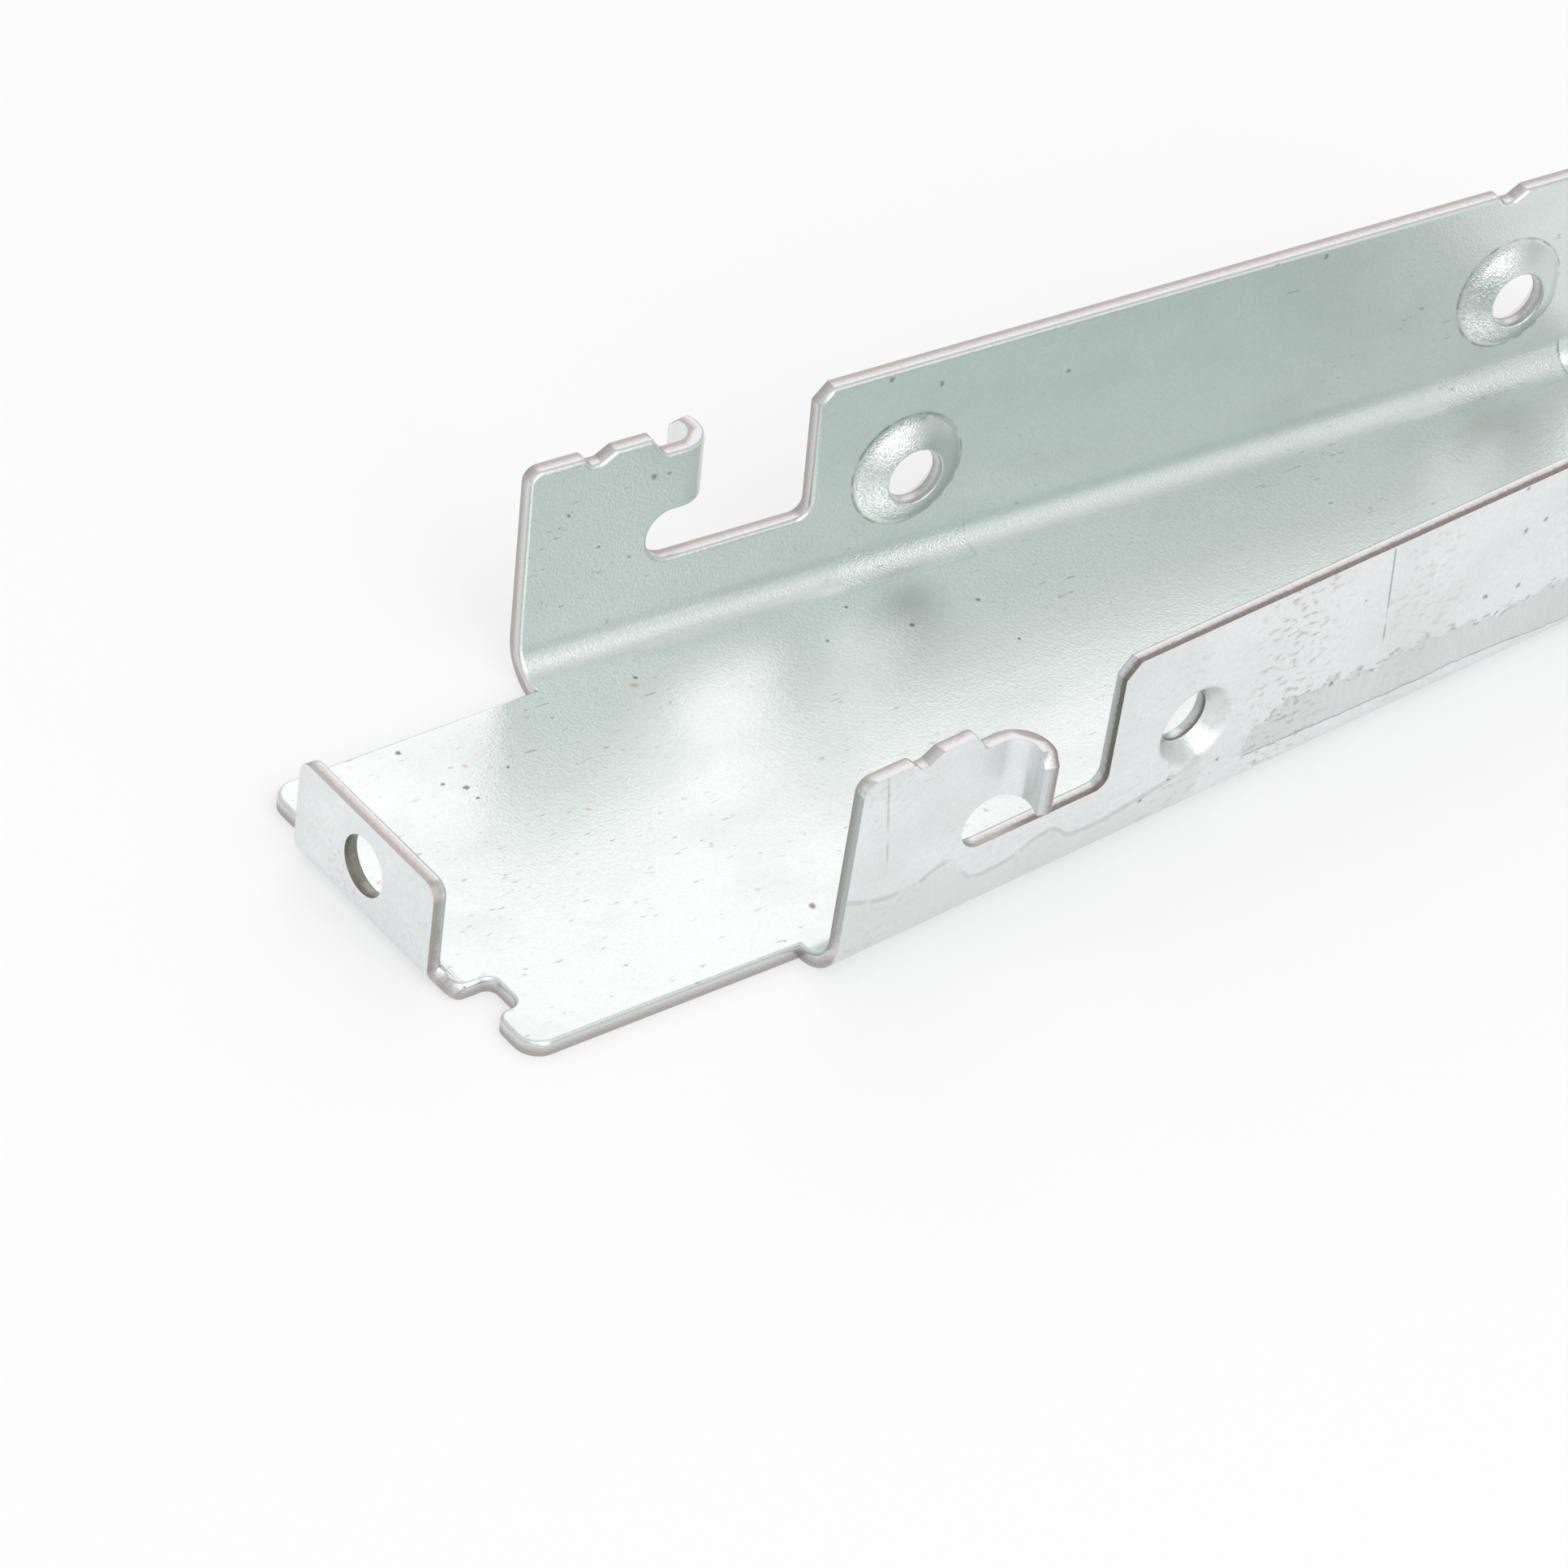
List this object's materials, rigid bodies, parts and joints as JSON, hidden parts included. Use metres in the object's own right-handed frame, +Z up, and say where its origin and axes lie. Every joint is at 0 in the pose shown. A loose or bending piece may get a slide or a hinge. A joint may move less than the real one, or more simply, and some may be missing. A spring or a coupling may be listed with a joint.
{
  "type": "stamped metal bracket",
  "caption": "Tapered folded sheet-steel channel bracket with outward hooks, dimpled screw holes and a drilled end tab.",
  "frame": {"origin": "on the underside of the web, on the centre line, level with the walls' ends at the wide end", "axes": "+X along the channel from its wide end to its narrow end, +Y across it, +Z up from the web"},
  "size_m": [0.117, 0.0442, 0.0176],
  "materials": {
    "galvanised_steel": "electro-galvanised, satin"
  },
  "bodies": {
    "root": {"channel_bracket": "galvanised_steel"}
  },
  "joints": []
}
